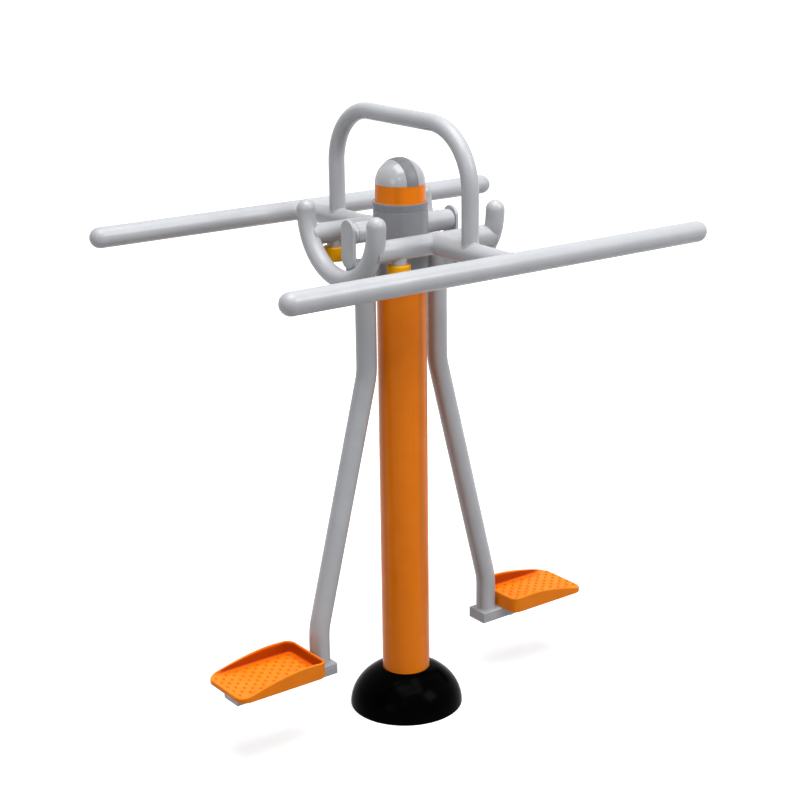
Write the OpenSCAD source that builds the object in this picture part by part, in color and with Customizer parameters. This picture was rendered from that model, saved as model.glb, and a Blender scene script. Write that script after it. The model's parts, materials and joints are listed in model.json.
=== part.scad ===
// Outdoor air walker: a steel column carries a tubular handrail frame and two legs that
// swing on bearings, each with a foot pedal. Right is +X, left is -X, near is -Y, far is +Y.
// The origin is on the ground at the column's centre, and lengths are in millimetres.

/* [Column] */
// Outside diameter of the column pipe
column_d = 114; // [100:1:125]
// Wall of the column pipe
column_wall = 3; // [2:0.5:5]
// Length of column that shows above the collar
column_head = 40; // [20:1:70]
// Wall of the domed column cap
top_cap_wall = 3; // [2:0.5:5]
// Length of the cap's spigot inside the column
top_cap_spigot_l = 15; // [8:1:30]
// Width of the strip over the cap
band_w = 29; // [15:1:50]
// Thickness of the strip over the cap
band_t = 0.8; // [0.5:0.1:1.5]
// How far the strip's middle lies to the left of the column's centre
band_offset = 5; // [0:1:20]

/* [Foot] */
// Distance from the anchor plate's edge to the base cap's, on the ground
flange_margin = 18.5; // [12:0.5:30]
// Thickness of the anchor plate
flange_t = 10; // [6:1:16]
// Distance from the anchor plate's edge to the anchor holes' centres
anchor_edge = 23; // [16:1:28]
// Diameter of an anchor hole
anchor_hole_d = 18; // [10:1:22]
// Number of anchor holes, and of the ribs between them
anchor_count = 4; // [3:1:6]
// Thickness of a rib
gusset_t = 6; // [4:1:10]
// Reach of a rib from the column
gusset_reach = 48; // [30:1:52]
// Height of a rib
gusset_h = 60; // [40:1:70]
// Diameter of the base cap on the ground
base_cap_d = 273; // [260:1:300]
// Height that the base cap's curve would have over the column's centre
base_cap_h = 108; // [100:1:130]
// Wall of the base cap
base_cap_wall = 3; // [2:0.5:5]

/* [Hub] */
// Wall of the sleeve and the collar
hub_wall = 4.7; // [3:0.1:7]
// Depth of the sleeve below the axle
sleeve_drop = 109.5; // [100:0.5:130]
// Height of the collar above the axle
collar_rise = 58.5; // [45:0.5:80]
// Height of the lip round the collar's top
collar_lip_h = 5; // [3:1:8]
// How far the lip stands out
collar_lip_out = 1.5; // [0.5:0.1:3]
// Width of the groove round the collar
groove_w = 7; // [3:0.5:12]
// Depth of the groove
groove_depth = 1.2; // [0.3:0.1:2]
// Distance from the collar's top to the groove
groove_drop = 12.6; // [8:0.1:16]
// Diameter of a locking screw
hub_screw_d = 10; // [6:1:12]
// Length of a locking screw under its head
hub_screw_l = 20; // [14:1:35]
// Diameter of a locking screw's head
hub_screw_head_d = 16; // [13:1:20]
// Height of a locking screw's head
hub_screw_head_h = 8; // [5:1:10]
// Size across the flats of a locking screw's socket
hub_screw_socket = 8; // [5:1:10]
// Depth of a locking screw's socket
hub_screw_socket_depth = 4; // [2:0.5:6]
// Distance of the locking screws below the axle
hub_screw_drop = 84.5; // [75:0.5:95]
// Angle of the middle between the two locking screws, from right towards far
hub_screw_turn = 54; // [45:1:65]
// Angle of each locking screw to that middle
hub_screw_spread = 30; // [20:1:40]

/* [Swing axle] */
// Height of the axle above the ground
axle_z = 1184.5; // [1100:0.5:1260]
// Wall of the axle housing round a bearing
housing_wall = 3; // [2:0.5:5]
// Height of the step in the housing's bore that stops the inner bearing
housing_step = 2; // [1:0.5:3]
// Width of the ring at each end of the housing
housing_ring_w = 9; // [6:1:14]
// How far that ring's outside lies below the housing's
housing_ring_step = 1; // [0.5:0.5:3]
// Radial gap between that ring and the shaft's collar
housing_ring_gap = 0.5; // [0.3:0.1:1.5]
// Depth of that ring's spigot in the housing
housing_spigot_l = 2; // [1:0.5:6]
// Outside diameter of a bearing
bearing_od = 42; // [40:1:47]
// Bore of a bearing
bearing_id = 20; // [17:1:20]
// Width of a bearing
bearing_w = 12; // [10:1:15]
// Distance between the two bearings of one leg
bearing_spacing = 32; // [15:1:36]
// Diameter of a bearing ball
ball_d = 6.2; // [5:0.1:6.4]
// Balls in one bearing
ball_count = 9; // [7:1:10]
// How far a race's shoulder stands from the circle of ball centres
race_shoulder = 2.1; // [1.6:0.1:2.6]
// Diameter of the collar on the shaft, outside the housing
shaft_collar_d = 32; // [28:0.5:34]
// Diameter of the seat that presses on the bearing's inner ring
shaft_seat_d = 26; // [23:0.5:26.5]
// Depth of the shaft's spigot in the hanger plate
shaft_spigot_l = 5; // [3:0.5:7]
// Diameter of the shaft's thread
thread_d = 16; // [12:1:16]
// Length of thread past the nut
thread_end_l = 3; // [1:0.5:6]
// Diameter of the washer under the nut
washer_d = 30; // [28:1:34]
// Thickness of that washer
washer_t = 3; // [2:0.5:4]
// Size of the nut across its flats
nut_af = 24; // [22:1:27]
// Height of the nut
nut_h = 13; // [8:1:16]

/* [Handrail frame] */
// Outside diameter of the rails, cross arms and hand bars
tube_d = 48; // [42:1:52]
// Wall of the rails, arms and hand bars
tube_wall = 3; // [2:0.5:5]
// Distance of the frame's tubes below the axle
frame_drop = 19.5; // [15:0.5:25]
// Width of the flat tubes between the sleeve and the rails
hub_arm_w = 60; // [40:1:70]
// Distance of those tubes' top below the rails' axis
hub_arm_drop = 2; // [0:0.5:4]
// Distance of their underside above the rails' lowest line
hub_arm_rise = 2; // [1:0.5:4]
// Distance of a hand bar from the column's centre
bar_y = 392.5; // [330:0.5:450]
// Half the length of a hand bar, with its caps
bar_half_l = 572; // [450:1:650]
// Depth of a cap's spigot in its tube
cap_spigot_l = 14; // [8:1:25]

/* [Loop handle] */
// Outside diameter of the loop handle
loop_d = 38; // [32:1:42]
// Wall of the loop handle
loop_wall = 2.5; // [2:0.5:4]
// Distance of a loop leg from the column's centre
loop_y = 252; // [200:1:300]
// Height of the loop above the frame
loop_rise = 266; // [230:1:320]
// Bend radius of the loop's corners
loop_bend_r = 134; // [90:1:170]

/* [Grips] */
// Outside diameter of a grip
grip_d = 43; // [38:1:46]
// Wall of a grip
grip_wall = 2.5; // [2:0.5:4]
// Distance of a grip's plane from the column's centre
grip_x = 164; // [160:0.5:180]
// Radius of a grip's bend
grip_bend_r = 136; // [132:0.5:150]
// Height of the bend's centre above the frame
grip_rise = 56; // [50:0.5:62]
// Straight length of a grip above its bend
grip_tip_l = 3; // [1:0.5:30]
// Depth of a grip cap's spigot in its grip
grip_spigot_l = 8; // [4:0.5:10]

/* [Swing stops] */
// Distance of a swing stop from the column's centre, along the rails
stop_x = 97; // [94:0.5:108]
// Diameter of the steel holder of a rubber stop
holder_d = 36; // [30:1:44]
// Length of the holder below its rail
holder_l = 10; // [8:0.5:16]
// Diameter of a rubber stop
bumper_d = 52; // [44:1:56]
// Height of a rubber stop
bumper_h = 33; // [25:1:40]
// Rounding of a rubber stop's lower edge
bumper_round = 5; // [2:0.5:8]
// Diameter of a stop's screw
bumper_screw_d = 8; // [6:1:10]
// Diameter of that screw's head
bumper_screw_head_d = 14; // [12:0.5:18]
// Height of that screw's head
bumper_screw_head_h = 5; // [4:0.5:8]
// Depth of the recess for that screw's head
bumper_recess_depth = 12; // [8:0.5:16]
// Diameter of that recess
bumper_recess_d = 20; // [18:0.5:26]

/* [Leg] */
// Outside diameter of a leg
leg_d = 48; // [42:1:50]
// Wall of a leg
leg_wall = 3; // [2:0.5:5]
// Distance from the hanger plate to the leg's centre at its top
leg_inset = 38.5; // [36:0.5:41]
// Distance of the leg's top below the axle
leg_top_drop = 65.5; // [60:0.5:72]
// Distance of the leg's upper bend below the axle
leg_bend_drop = 328.5; // [250:0.5:420]
// Distance that the leg slants outwards
leg_spread = 149; // [110:1:190]
// Height of the leg's lower bend above the pedal bar
leg_foot_rise = 83.5; // [60:0.5:150]
// Radius of the leg's bends
leg_bend_r = 170; // [120:1:220]
// Thickness of the disc that closes the leg's top
leg_plug_t = 3; // [2:0.5:6]

/* [Hanger] */
// Thickness of the hanger plate
plate_t = 8; // [6:0.5:10]
// Width of the hanger plate
plate_w = 48; // [40:1:52]
// Distance from the hanger plate's outer face to the grip's plane
plate_inset = 16.5; // [14:0.5:20]
// Gap between the housing's ring and the hanger plate
plate_gap = 2; // [1.5:0.5:8]
// Height of the hanger plate's top above the axle
plate_rise = 31.5; // [28:0.5:36]
// Depth of the hanger plate's end below the axle
plate_drop = 78.5; // [72:0.5:82]
// Width of the block between the plate and the leg
bracket_w = 36; // [28:1:42]
// Height of that block
bracket_h = 36; // [25:1:45]
// Thickness of the rib over that block
rib_t = 6; // [4:0.5:10]
// Height of that rib
rib_h = 31; // [20:0.5:34]
// Reach of that rib from the plate
rib_reach = 21.5; // [16:0.5:24]

/* [Pedal bar] */
// Height of the pedal bar's underside above the ground
pedal_bar_z = 151; // [120:1:220]
// Width of the pedal bar
pedal_bar_w = 60; // [54:1:80]
// Height of the pedal bar
pedal_bar_h = 28; // [20:1:40]
// Wall of the pedal bar
pedal_bar_wall = 2.5; // [2:0.5:4]
// Outer corner radius of the pedal bar
pedal_bar_round = 4; // [3:0.5:8]
// How far the pedal bar reaches past the leg on the inside
pedal_bar_overhang = 5; // [2:0.5:15]
// How far the pedal bar ends short of the pedal on the outside
pedal_bar_setback = 18; // [8:0.5:40]
// Thickness of an end plug's face
bar_plug_t = 2; // [1.5:0.5:4]
// Depth of an end plug in the bar
bar_plug_l = 12; // [6:1:20]

/* [Pedal] */
// Length of a pedal
pedal_l = 232; // [215:1:300]
// Width of a pedal
pedal_w = 158; // [120:1:190]
// Thickness of the pedal's floor
pedal_floor_t = 11; // [8:0.5:14]
// Thickness of the pedal's rim
pedal_wall = 5; // [4:0.5:10]
// Height of the pedal with its rim
pedal_rim_h = 40.5; // [30:0.5:60]
// Radius of the pedal's corners beside the leg
pedal_inner_round = 22; // [15:1:35]
// Radius of the pedal's outer corners
pedal_outer_round = 28; // [20:1:45]
// Gap between the leg and the pedal
pedal_gap = 5; // [2:0.5:15]
// Diameter of a pedal bolt
bolt_d = 8; // [6:1:10]
// Size of a pedal bolt's head across its flats
bolt_head_af = 13; // [12:1:17]
// Height of a pedal bolt's head
bolt_head_h = 5.3; // [4:0.1:7]
// Depth of a pedal bolt in the floor
bolt_grip_l = 5; // [4:0.5:6]
// Distance from the pedal's inner end to the first bolts
bolt_inset = 41; // [30:1:60]
// Distance from the pedal bar's outer end to the last bolts
bolt_end_inset = 40; // [30:1:60]
// Distance between the bolts across the pedal
bolt_pitch_y = 30; // [26:1:36]

/* [Hidden] */
$fn = 72;

// Gap of a welded seat, of a slipped-on piece and of a close fit, each on one side
weld_gap = 0.2;
slip_gap = 0.3;
close_fit = 0.05;
// Clearance of a ball in its races, and of a bolt in a plain hole
ball_gap = 0.1;
hole_gap = 0.3;
// Overrun of every cut
over = 1;
// How far a tube's bend reaches into its straight runs, and how much each face of its wall thins
bend_lap = 1;
bend_thinning = 0.1;

// Sides and ends of the object
left = -1;
right = 1;
near = -1;
far = 1;

// Frame heights and places that follow from the sizes above
frame_z = axle_z - frame_drop;
collar_top_z = axle_z + collar_rise;
column_top_z = collar_top_z + column_head;
sleeve_bottom_z = axle_z - sleeve_drop;
loop_z = frame_z + loop_rise;
grip_z = frame_z + grip_rise;
grip_tip_z = grip_z + grip_tip_l;
rail_y = sqrt(pow(grip_bend_r, 2) - pow(grip_rise, 2));
bumper_top_z = frame_z - tube_d / 2 - holder_l;
bumper_bottom_z = bumper_top_z - bumper_h;

// Sizes of the anchor plate that follow from the base cap over it
flange_d = base_cap_d - 2 * flange_margin;
anchor_pcd = flange_d - 2 * anchor_edge;

// Diameters of the column, its hub and the axle housing
column_bore_d = column_d - 2 * column_wall;
hub_bore_d = column_d + 2 * slip_gap;
hub_d = hub_bore_d + 2 * hub_wall;
housing_d = bearing_od + 2 * housing_wall;
housing_hole_d = housing_d + 2 * slip_gap;
cap_ledge_t = top_cap_wall;

// Places along the axle, counted outwards from the column's centre
plate_outer_x = grip_x - plate_inset;
plate_x = plate_outer_x - plate_t;
ring_end_x = plate_x - plate_gap;
housing_end_x = ring_end_x - housing_ring_w;
outer_bearing_x = housing_end_x - housing_spigot_l - bearing_w;
inner_bearing_x = outer_bearing_x - bearing_spacing - bearing_w;
washer_x = inner_bearing_x - washer_t;
nut_x = washer_x - nut_h;
shaft_end_x = nut_x - thread_end_l;
bearing_xs = [inner_bearing_x, outer_bearing_x];

// Sizes inside a bearing
ball_circle_d = (bearing_od + bearing_id) / 2;
outer_race_d = ball_circle_d + 2 * race_shoulder;
inner_race_d = ball_circle_d - 2 * race_shoulder;
journal_d = bearing_id - 2 * close_fit;

// Places of the leg, the pedal bar and the pedal, counted outwards
leg_x = plate_x - leg_inset;
foot_x = leg_x + leg_spread;
leg_top_z = axle_z - leg_top_drop;
bar_top_z = pedal_bar_z + pedal_bar_h;
pedal_x = foot_x + leg_d / 2 + pedal_gap;
pedal_end_x = pedal_x + pedal_l;
bar_x = foot_x - leg_d / 2 - pedal_bar_overhang;
bar_end_x = pedal_end_x - pedal_bar_setback;
leg_path = [
    [leg_x, leg_top_z - leg_plug_t],
    [leg_x, axle_z - leg_bend_drop],
    [foot_x, bar_top_z + leg_foot_rise],
    [foot_x, bar_top_z]
];
loop_path = [[-loop_y, frame_z], [-loop_y, loop_z], [loop_y, loop_z], [loop_y, frame_z]];

// The pedal's rim rises a little to its crest and then falls to the open outer end
rim_crest_share = 0.27;
rim_lead_share = 0.075;
rim_fall_share = 0.78;
rim_fall_power = 1.58;
rim_steps = 18;
base_cap_steps = 20;

// A round bar along one axis, from one place to another
module rod_x(x0, x1, d) {
    translate([x0, 0, 0]) rotate([0, 90, 0]) cylinder(h = x1 - x0, d = d);
}

module rod_y(y0, y1, d) {
    translate([0, y0, 0]) rotate([-90, 0, 0]) cylinder(h = y1 - y0, d = d);
}

module rod_z(z0, z1, d) {
    translate([0, 0, z0]) cylinder(h = z1 - z0, d = d);
}

// A round pipe along one axis, open at both ends
module pipe_x(x0, x1, d, bore) {
    difference() {
        rod_x(x0, x1, d);
        rod_x(x0 - over, x1 + over, bore);
    }
}

module pipe_z(z0, z1, d, bore) {
    difference() {
        rod_z(z0, z1, d);
        rod_z(z0 - over, z1 + over, bore);
    }
}

// Puts a piece that is drawn for the right or far side on the side asked for
module on_side(side) {
    if (side < 0) mirror([1, 0, 0]) children();
    else children();
}

module on_end(end) {
    if (end < 0) mirror([0, 1, 0]) children();
    else children();
}

// Lifts a piece to the axle's height
module at_axle() {
    translate([0, 0, axle_z]) children();
}

// A flat path: the direction of each run, the turn at a corner and the length a bend takes
function heading(a, b) = atan2(b.y - a.y, b.x - a.x);
function wrapped(turn) = turn > 180 ? turn - 360 : turn < -180 ? turn + 360 : turn;
function turn_at(path, i) = wrapped(heading(path[i], path[i + 1]) - heading(path[i - 1], path[i]));
function is_end(path, i) = i == 0 || i == len(path) - 1;
function trim_at(path, i, bend_r) = is_end(path, i) ? 0 : bend_r * tan(abs(turn_at(path, i)) / 2);
function along(a, angle, distance) = a + distance * [cos(angle), sin(angle)];

// Section of a round tube
module ring_section(d, bore) {
    difference() {
        circle(d = d);
        circle(d = bore);
    }
}

// One straight run of a bent tube, between the bends at its ends
module straight_run(path, i, bend_r, d, bore) {
    angle = heading(path[i], path[i + 1]);
    start = along(path[i], angle, trim_at(path, i, bend_r));
    run_l = norm(path[i + 1] - path[i]) - trim_at(path, i, bend_r) - trim_at(path, i + 1, bend_r);
    translate([start.x, start.y, 0]) rotate([0, 90, angle])
        linear_extrude(height = run_l) ring_section(d, bore);
}

// One bend, about a centre to the left or right of the run before it. Its wall is a little
// thinner than a straight run's, and its ends reach a little way into the runs' walls.
module bend(path, i, bend_r, d, bore) {
    turn = turn_at(path, i);
    angle = heading(path[i - 1], path[i]);
    start = along(path[i], angle + 180, trim_at(path, i, bend_r));
    side = turn > 0 ? 90 : -90;
    centre = along(start, angle + side, bend_r);
    first = turn > 0 ? angle - side : angle - side + turn;
    lap = bend_lap / (PI * bend_r) * 180;
    translate([centre.x, centre.y, 0]) rotate([0, 0, first - lap])
        rotate_extrude(angle = abs(turn) + 2 * lap) translate([bend_r, 0])
            ring_section(d - 2 * bend_thinning, bore + 2 * bend_thinning);
}

module bent_pipe(path, bend_r, d, bore) {
    for (i = [0 : len(path) - 2]) straight_run(path, i, bend_r, d, bore);
    for (i = [1 : len(path) - 2]) bend(path, i, bend_r, d, bore);
}

// A half ball on a spigot, for the open end of a tube that points along +Z
module end_cap(d, bore, spigot_l) {
    rotate_extrude() intersection() {
        circle(d = d);
        square([d, d]);
    }
    rod_z(-spigot_l, 0, bore - 2 * slip_gap);
}

// Solids that others are cut to fit
module rail_line(end, d) {
    translate([0, end * rail_y, frame_z]) rod_x(-grip_x, grip_x, d);
}

module bar_line(end, d) {
    translate([0, end * bar_y, frame_z]) rod_x(-bar_half_l + tube_d / 2, bar_half_l - tube_d / 2, d);
}

module grip_line(side, d, extra) {
    translate([side * grip_x, 0, grip_z]) rotate([90, 0, 90]) {
        rotate([0, 0, 180]) rotate_extrude(angle = 180) translate([grip_bend_r, 0]) circle(d = d);
        for (end = [near, far])
            translate([end * grip_bend_r, 0, 0]) rotate([-90, 0, 0])
                cylinder(h = grip_tip_l + extra, d = d);
    }
}

// Column and foot
module column() {
    color("darkorange") difference() {
        pipe_z(flange_t, column_top_z, column_d, column_bore_d);
        at_axle() rod_x(-column_d, column_d, housing_hole_d);
        at_hub_screws() rod_x(0, column_d, hub_screw_d + 2 * close_fit);
    }
}

module base_flange() {
    color("gray") difference() {
        rod_z(0, flange_t, flange_d);
        for (i = [0 : anchor_count - 1])
            rotate([0, 0, (i + 1 / 2) * 360 / anchor_count]) translate([anchor_pcd / 2, 0, 0])
                rod_z(-over, flange_t + over, anchor_hole_d);
    }
}

module base_gussets() {
    color("gray") difference() {
        for (i = [0 : anchor_count - 1])
            rotate([0, 0, i * 360 / anchor_count]) rotate([90, 0, 0])
                translate([0, flange_t, -gusset_t / 2]) linear_extrude(height = gusset_t)
                    polygon([
                        [column_bore_d / 2, 0],
                        [column_d / 2 + gusset_reach, 0],
                        [column_d / 2, gusset_h],
                        [column_bore_d / 2, gusset_h]
                    ]);
        rod_z(0, column_top_z, column_d + 2 * weld_gap);
    }
}

// Quarter of an ellipse, from the ground up to the hole for the column
function cap_curve(half_w, height, hole_r) = [
    for (i = [0 : base_cap_steps])
        let (angle = i / base_cap_steps * acos(hole_r / half_w))
            [half_w * cos(angle), height * sin(angle)]
];

module base_cap() {
    hole_r = column_d / 2 + slip_gap;
    outer = cap_curve(base_cap_d / 2, base_cap_h, hole_r);
    inner = cap_curve(base_cap_d / 2 - base_cap_wall, base_cap_h - base_cap_wall, hole_r);
    color("black") rotate_extrude()
        polygon(concat(outer, [for (i = [base_cap_steps : -1 : 0]) inner[i]]));
}

// Cap of the column
module top_cap() {
    cap_d = column_d;
    bore = column_bore_d - 2 * slip_gap;
    spigot_bore = bore - 2 * top_cap_wall;
    color("silver") translate([0, 0, column_top_z]) {
        rotate_extrude() intersection() {
            difference() {
                circle(d = cap_d);
                circle(d = cap_d - 2 * top_cap_wall);
            }
            square([cap_d, cap_d]);
        }
        pipe_z(0, cap_ledge_t, cap_d - top_cap_wall, spigot_bore);
        pipe_z(-top_cap_spigot_l, cap_ledge_t, bore, spigot_bore);
    }
}

module top_cap_band() {
    color("dimgray") translate([0, 0, column_top_z]) intersection() {
        difference() {
            sphere(d = column_d + 2 * close_fit + 2 * band_t);
            sphere(d = column_d + 2 * close_fit);
        }
        translate([-band_offset - band_w / 2, -column_d, 0]) cube([band_w, 2 * column_d, column_d]);
    }
}

// Hub round the column, split at the axle's height
module at_hub_screws() {
    for (step = [-1, 1])
        rotate([0, 0, hub_screw_turn + step * hub_screw_spread])
            translate([0, 0, axle_z - hub_screw_drop]) children();
}

module hub_sleeve() {
    color("darkgray") difference() {
        pipe_z(sleeve_bottom_z, axle_z, hub_d, hub_bore_d);
        at_axle() rod_x(-hub_d, hub_d, housing_hole_d);
        at_hub_screws() rod_x(0, hub_d, hub_screw_d + 2 * hole_gap);
    }
}

module hub_collar() {
    lip_d = hub_d + 2 * collar_lip_out;
    groove_top = collar_rise - groove_drop;
    color("darkgray") at_axle() difference() {
        union() {
            pipe_z(close_fit, collar_rise, hub_d, hub_bore_d);
            pipe_z(collar_rise - collar_lip_h, collar_rise, lip_d, hub_bore_d);
        }
        pipe_z(groove_top - groove_w, groove_top, lip_d, hub_d - 2 * groove_depth);
        rod_x(-hub_d, hub_d, housing_hole_d);
    }
}

module hub_screws() {
    seat_x = hub_d / 2 - hub_wall;
    head_x = hub_d / 2 + hub_screw_head_h;
    color("silver") at_hub_screws() {
        difference() {
            rod_x(seat_x, head_x, hub_screw_head_d);
            rod_z(-hub_screw_head_d, hub_screw_head_d, hub_d + 2 * close_fit);
            translate([head_x - hub_screw_socket_depth, 0, 0]) rotate([0, 90, 0])
                cylinder(h = hub_screw_socket_depth + over, d = hub_screw_socket / cos(30), $fn = 6);
        }
        rod_x(hub_d / 2 - hub_screw_l, head_x - hub_screw_socket_depth, hub_screw_d);
    }
}

// Axle housing with its fixed bearing pieces
module axle_housing() {
    bearing_bore = bearing_od + 2 * close_fit;
    color("darkgray") at_axle() difference() {
        rod_x(-housing_end_x, housing_end_x, housing_d);
        rod_x(-housing_end_x, housing_end_x, bearing_od - 2 * housing_step);
        for (side = [left, right])
            on_side(side) rod_x(inner_bearing_x, housing_end_x + over, bearing_bore);
    }
}

module housing_rings() {
    ring_bore = shaft_collar_d + 2 * housing_ring_gap;
    spigot_bore = outer_race_d;
    color("dimgray") at_axle() for (side = [left, right]) on_side(side) {
        pipe_x(housing_end_x, ring_end_x, housing_d - 2 * housing_ring_step, ring_bore);
        pipe_x(housing_end_x - housing_spigot_l, housing_end_x, bearing_od, spigot_bore);
        pipe_x(housing_end_x, housing_end_x + housing_ring_step, bearing_od, ring_bore);
    }
}

// A bearing ring along X: a tube with a round groove for the balls
module bearing_ring(x, d, bore) {
    translate([x, 0, 0]) rotate([0, 90, 0]) rotate_extrude() difference() {
        translate([bore / 2, 0]) square([(d - bore) / 2, bearing_w]);
        translate([ball_circle_d / 2, bearing_w / 2]) circle(d = ball_d + 2 * ball_gap);
    }
}

module bearing_outer_rings() {
    color("gainsboro") at_axle() for (side = [left, right], x = bearing_xs)
        on_side(side) bearing_ring(x, bearing_od, outer_race_d);
}

module bearing_balls() {
    color("white") at_axle() for (side = [left, right], x = bearing_xs, i = [0 : ball_count - 1])
        on_side(side) translate([x + bearing_w / 2, 0, 0]) rotate([i * 360 / ball_count, 0, 0])
            translate([0, 0, ball_circle_d / 2]) sphere(d = ball_d);
}

module outer_spacers() {
    color("gray") at_axle() for (side = [left, right])
        on_side(side) pipe_x(inner_bearing_x + bearing_w, outer_bearing_x, bearing_od, outer_race_d);
}

// Welded frame round the column
module hub_arms() {
    arm_z = frame_z - tube_d / 2 + hub_arm_rise;
    arm_h = tube_d / 2 - hub_arm_rise - hub_arm_drop;
    color("silver") for (end = [near, far]) difference() {
        on_end(end) translate([-hub_arm_w / 2, 0, arm_z]) cube([hub_arm_w, rail_y, arm_h]);
        on_end(end) translate([-hub_arm_w / 2 + tube_wall, -over, arm_z + tube_wall])
            cube([hub_arm_w - 2 * tube_wall, rail_y + 2 * over, arm_h - 2 * tube_wall]);
        rail_line(end, tube_d + 2 * weld_gap);
        rod_z(0, column_top_z, hub_d + 2 * weld_gap);
    }
}

module side_rail(end) {
    color("silver") difference() {
        rail_line(end, tube_d);
        translate([0, end * rail_y, frame_z])
            rod_x(-grip_x - over, grip_x + over, tube_d - 2 * tube_wall);
        for (side = [left, right]) grip_line(side, grip_d + 2 * weld_gap, 0);
    }
}

module cross_arm(end) {
    color("silver") difference() {
        on_end(end) translate([0, 0, frame_z]) difference() {
            rod_y(rail_y, bar_y, tube_d);
            rod_y(rail_y - over, bar_y + over, tube_d - 2 * tube_wall);
        }
        rail_line(end, tube_d + 2 * weld_gap);
        bar_line(end, tube_d + 2 * weld_gap);
    }
}

module hand_bar(end) {
    tube_end = bar_half_l - tube_d / 2;
    color("silver") difference() {
        bar_line(end, tube_d);
        translate([0, end * bar_y, frame_z])
            rod_x(-tube_end - over, tube_end + over, tube_d - 2 * tube_wall);
    }
}

module hand_bar_caps() {
    color("gray") for (end = [near, far], side = [left, right])
        on_side(side) translate([bar_half_l - tube_d / 2, end * bar_y, frame_z])
            rotate([0, 90, 0]) end_cap(tube_d, tube_d - 2 * tube_wall, cap_spigot_l);
}

module loop_handle() {
    color("silver") difference() {
        rotate([90, 0, 90]) bent_pipe(loop_path, loop_bend_r, loop_d, loop_d - 2 * loop_wall);
        translate([0, 0, frame_z]) rod_y(-bar_y, bar_y, tube_d + 2 * weld_gap);
    }
}

module grip(side) {
    color("silver") difference() {
        grip_line(side, grip_d, 0);
        grip_line(side, grip_d - 2 * grip_wall, over);
    }
}

module grip_caps() {
    color("gray") for (side = [left, right], end = [near, far])
        translate([side * grip_x, end * grip_bend_r, grip_tip_z])
            end_cap(grip_d, grip_d - 2 * grip_wall, grip_spigot_l);
}

// Swing stops under the rails
module at_stops() {
    for (side = [left, right], end = [near, far])
        translate([side * stop_x, end * rail_y, 0]) children();
}

module bumper_holders() {
    color("gray") difference() {
        at_stops() rod_z(bumper_top_z, frame_z, holder_d);
        for (end = [near, far]) rail_line(end, tube_d + 2 * weld_gap);
        at_stops() rod_z(bumper_top_z - over, frame_z, bumper_screw_d + 2 * close_fit);
    }
}

module bumpers() {
    color("gold") at_stops() translate([0, 0, bumper_bottom_z]) difference() {
        rotate_extrude() {
            square([bumper_d / 2 - bumper_round, bumper_h]);
            translate([0, bumper_round]) square([bumper_d / 2, bumper_h - bumper_round]);
            translate([bumper_d / 2 - bumper_round, bumper_round]) circle(r = bumper_round);
        }
        rod_z(-over, bumper_h + over, bumper_screw_d + 2 * hole_gap);
        rod_z(-over, bumper_recess_depth, bumper_recess_d);
    }
}

module bumper_screws() {
    head_z = bumper_bottom_z + bumper_recess_depth;
    color("silver") at_stops() {
        rod_z(head_z - bumper_screw_head_h, head_z, bumper_screw_head_d);
        rod_z(head_z, bumper_top_z + holder_l - close_fit, bumper_screw_d);
    }
}

// Swing shaft of one leg, with what it clamps
module swing_shaft(side) {
    seat_x = outer_bearing_x + bearing_w;
    color("lightgray") at_axle() on_side(side) {
        rod_x(shaft_end_x, inner_bearing_x + close_fit, thread_d - 2 * close_fit);
        rod_x(inner_bearing_x + close_fit, seat_x, journal_d);
        rod_x(seat_x, housing_end_x, shaft_seat_d);
        rod_x(housing_end_x, plate_x, shaft_collar_d);
        rod_x(plate_x, plate_x + shaft_spigot_l, journal_d);
    }
}

module shaft_washer(side) {
    color("silver") at_axle() on_side(side)
        pipe_x(washer_x, inner_bearing_x, washer_d, thread_d + 2 * hole_gap);
}

module shaft_nut(side) {
    color("silver") at_axle() on_side(side) difference() {
        translate([nut_x, 0, 0]) rotate([0, 90, 0]) cylinder(h = nut_h, d = nut_af / cos(30), $fn = 6);
        rod_x(nut_x - over, washer_x + over, thread_d);
    }
}

module inner_rings(side) {
    color("gainsboro") at_axle() for (x = bearing_xs)
        on_side(side) bearing_ring(x, inner_race_d, bearing_id);
}

module inner_spacer(side) {
    color("gray") at_axle() on_side(side)
        pipe_x(inner_bearing_x + bearing_w, outer_bearing_x, inner_race_d, bearing_id);
}

// Hanger plate and the bracket that carries the leg
module hanger_plate(side) {
    color("silver") at_axle() on_side(side) difference() {
        union() {
            translate([0, 0, plate_rise - plate_w / 2]) rod_x(plate_x, plate_outer_x, plate_w);
            translate([0, 0, plate_w / 2 - plate_drop]) rod_x(plate_x, plate_outer_x, plate_w);
            translate([plate_x, -plate_w / 2, plate_w / 2 - plate_drop])
                cube([plate_t, plate_w, plate_rise + plate_drop - plate_w]);
        }
        rod_x(plate_x - over, plate_x + shaft_spigot_l, bearing_id);
    }
}

module leg_bracket(side) {
    color("silver") on_side(side) {
        difference() {
            translate([leg_x, -bracket_w / 2, leg_top_z - bracket_h])
                cube([plate_x - leg_x, bracket_w, bracket_h]);
            translate([leg_x, 0, 0]) rod_z(0, axle_z, leg_d + 2 * weld_gap);
        }
        translate([0, rib_t / 2, leg_top_z]) rotate([90, 0, 0]) linear_extrude(height = rib_t)
            polygon([[plate_x - rib_reach, 0], [plate_x, 0], [plate_x, rib_h]]);
    }
}

// Leg of one side, with the bar and the pedal on its foot
module leg_tube(side) {
    color("silver") on_side(side) rotate([90, 0, 0])
        bent_pipe(leg_path, leg_bend_r, leg_d, leg_d - 2 * leg_wall);
}

module leg_top_plug(side) {
    disc_z = leg_top_z - leg_plug_t;
    color("gray") on_side(side) translate([leg_x, 0, 0]) {
        rod_z(disc_z, leg_top_z, leg_d);
        rod_z(disc_z - cap_spigot_l, disc_z, leg_d - 2 * leg_wall - 2 * slip_gap);
    }
}

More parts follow.
